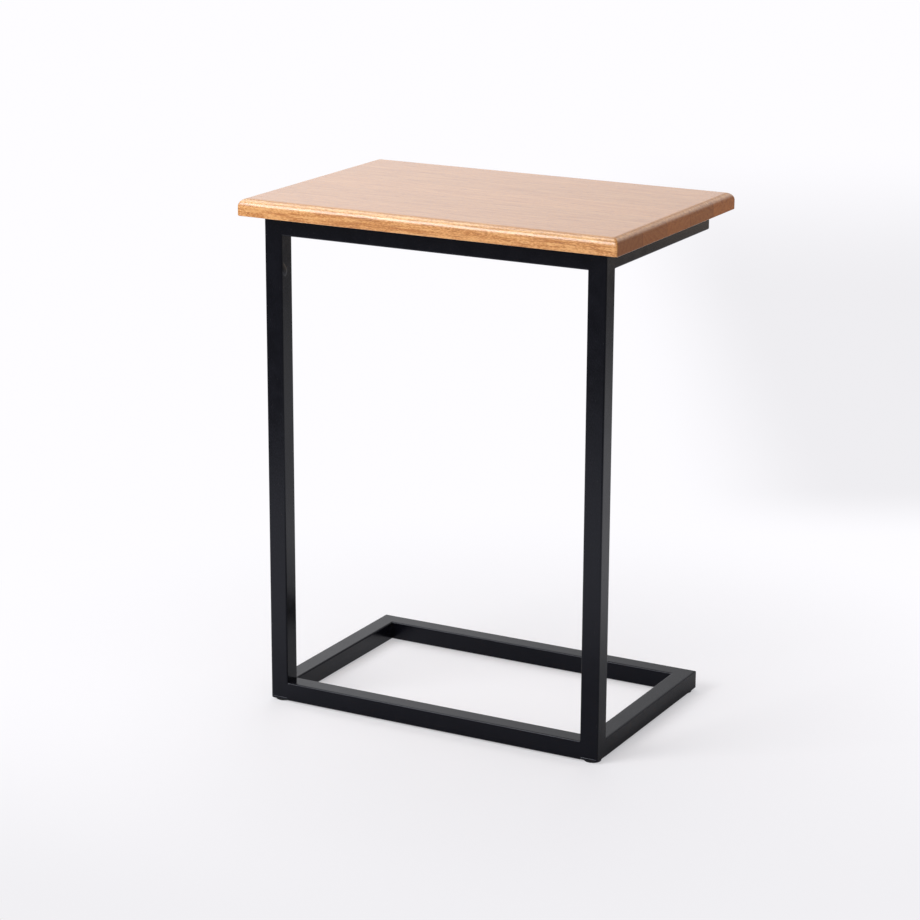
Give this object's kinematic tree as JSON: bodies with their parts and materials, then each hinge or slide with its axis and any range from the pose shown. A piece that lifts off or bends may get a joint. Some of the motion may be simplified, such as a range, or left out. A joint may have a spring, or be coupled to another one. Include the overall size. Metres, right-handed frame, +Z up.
{
  "type": "c-shaped side table",
  "caption": "C-shaped side table: a wooden board carried on one side by a welded square-tube frame, open at the back so that its base slides under a sofa.",
  "frame": {"origin": "on the floor under the middle of the table, at the bottom centre of its bounding box", "axes": "+Z up; +X along the table's length; the two uprights stand at the front, -Y, and the open side of the C faces +Y"},
  "size_m": [0.53, 0.355, 0.676],
  "materials": {
    "board_wood": "clear satin lacquer over a warm brown hardwood with grain along X",
    "black_coating": "black satin powder coat with a fine texture",
    "foot_rubber": "matt black rubber",
    "zinc_steel": "bright zinc plate"
  },
  "bodies": {
    "root": {"front_stave": "board_wood", "front_middle_stave": "board_wood", "middle_stave": "board_wood", "back_middle_stave": "board_wood", "back_stave": "board_wood", "left_upright": "black_coating", "right_upright": "black_coating", "base_front_tube": "black_coating", "base_back_tube": "black_coating", "base_left_tube": "black_coating", "base_right_tube": "black_coating", "top_front_rail": "black_coating", "top_back_rail": "black_coating", "top_left_rail": "black_coating", "top_right_rail": "black_coating", "left_upright_end_plate": "black_coating", "right_upright_end_plate": "black_coating", "base_flush_welds": "black_coating", "top_flush_welds": "black_coating", "front_left_foot_pad": "foot_rubber", "front_right_foot_pad": "foot_rubber", "back_left_foot_pad": "foot_rubber", "back_right_foot_pad": "foot_rubber", "board_screws": "zinc_steel", "screw_washers": "zinc_steel"}
  },
  "joints": []
}
